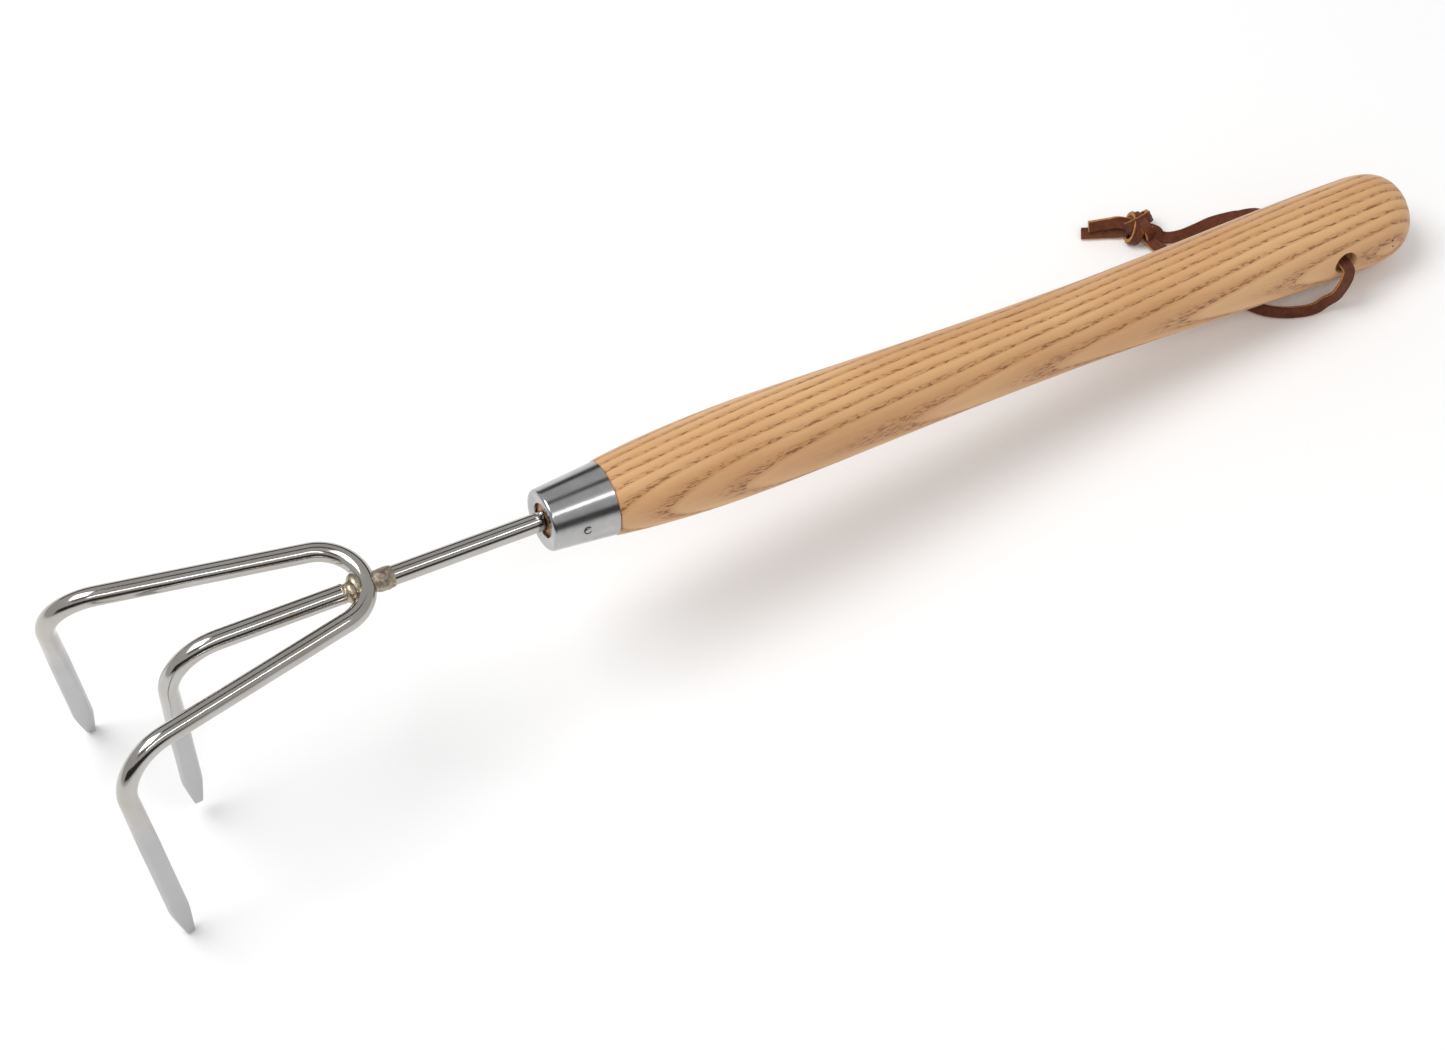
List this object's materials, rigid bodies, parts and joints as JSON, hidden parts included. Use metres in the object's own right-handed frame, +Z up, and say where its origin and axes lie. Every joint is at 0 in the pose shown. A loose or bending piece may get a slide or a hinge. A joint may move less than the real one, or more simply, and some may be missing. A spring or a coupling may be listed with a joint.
{
  "type": "hand cultivator",
  "caption": "Hand cultivator claw: bent polished steel tines welded to a shank, steel ferrule, turned ash handle and a knotted leather hanging lace.",
  "frame": {"origin": "on the surface the tool lies on, under the middle of the tool's box measured without the lace", "axes": "+X from the tines towards the butt, +Z up from the surface; the tool stands on its two outer tips and the underside of the butt, so the handle slopes down by about 10 degrees towards +X"},
  "size_m": [0.4722, 0.0911, 0.0924],
  "materials": {
    "handle": "oiled, open grain",
    "polished_steel": "mirror-polished stainless rod",
    "ferrule_steel": "satin stainless",
    "weld_metal": "heat-tinted weld",
    "lace_leather": "smooth tanned leather with raw cut edges"
  },
  "bodies": {
    "root": {"handle": "handle", "ferrule": "ferrule_steel", "ferrule_pin": "ferrule_steel", "shank": "polished_steel", "outer_tines": "polished_steel", "centre_tine": "polished_steel", "shank_weld": "weld_metal", "centre_tine_weld": "weld_metal", "lace_near_leg": "lace_leather", "lace_far_leg": "lace_leather", "lace_knot": "lace_leather", "lace_long_tail": "lace_leather", "lace_short_tail": "lace_leather"}
  },
  "joints": []
}
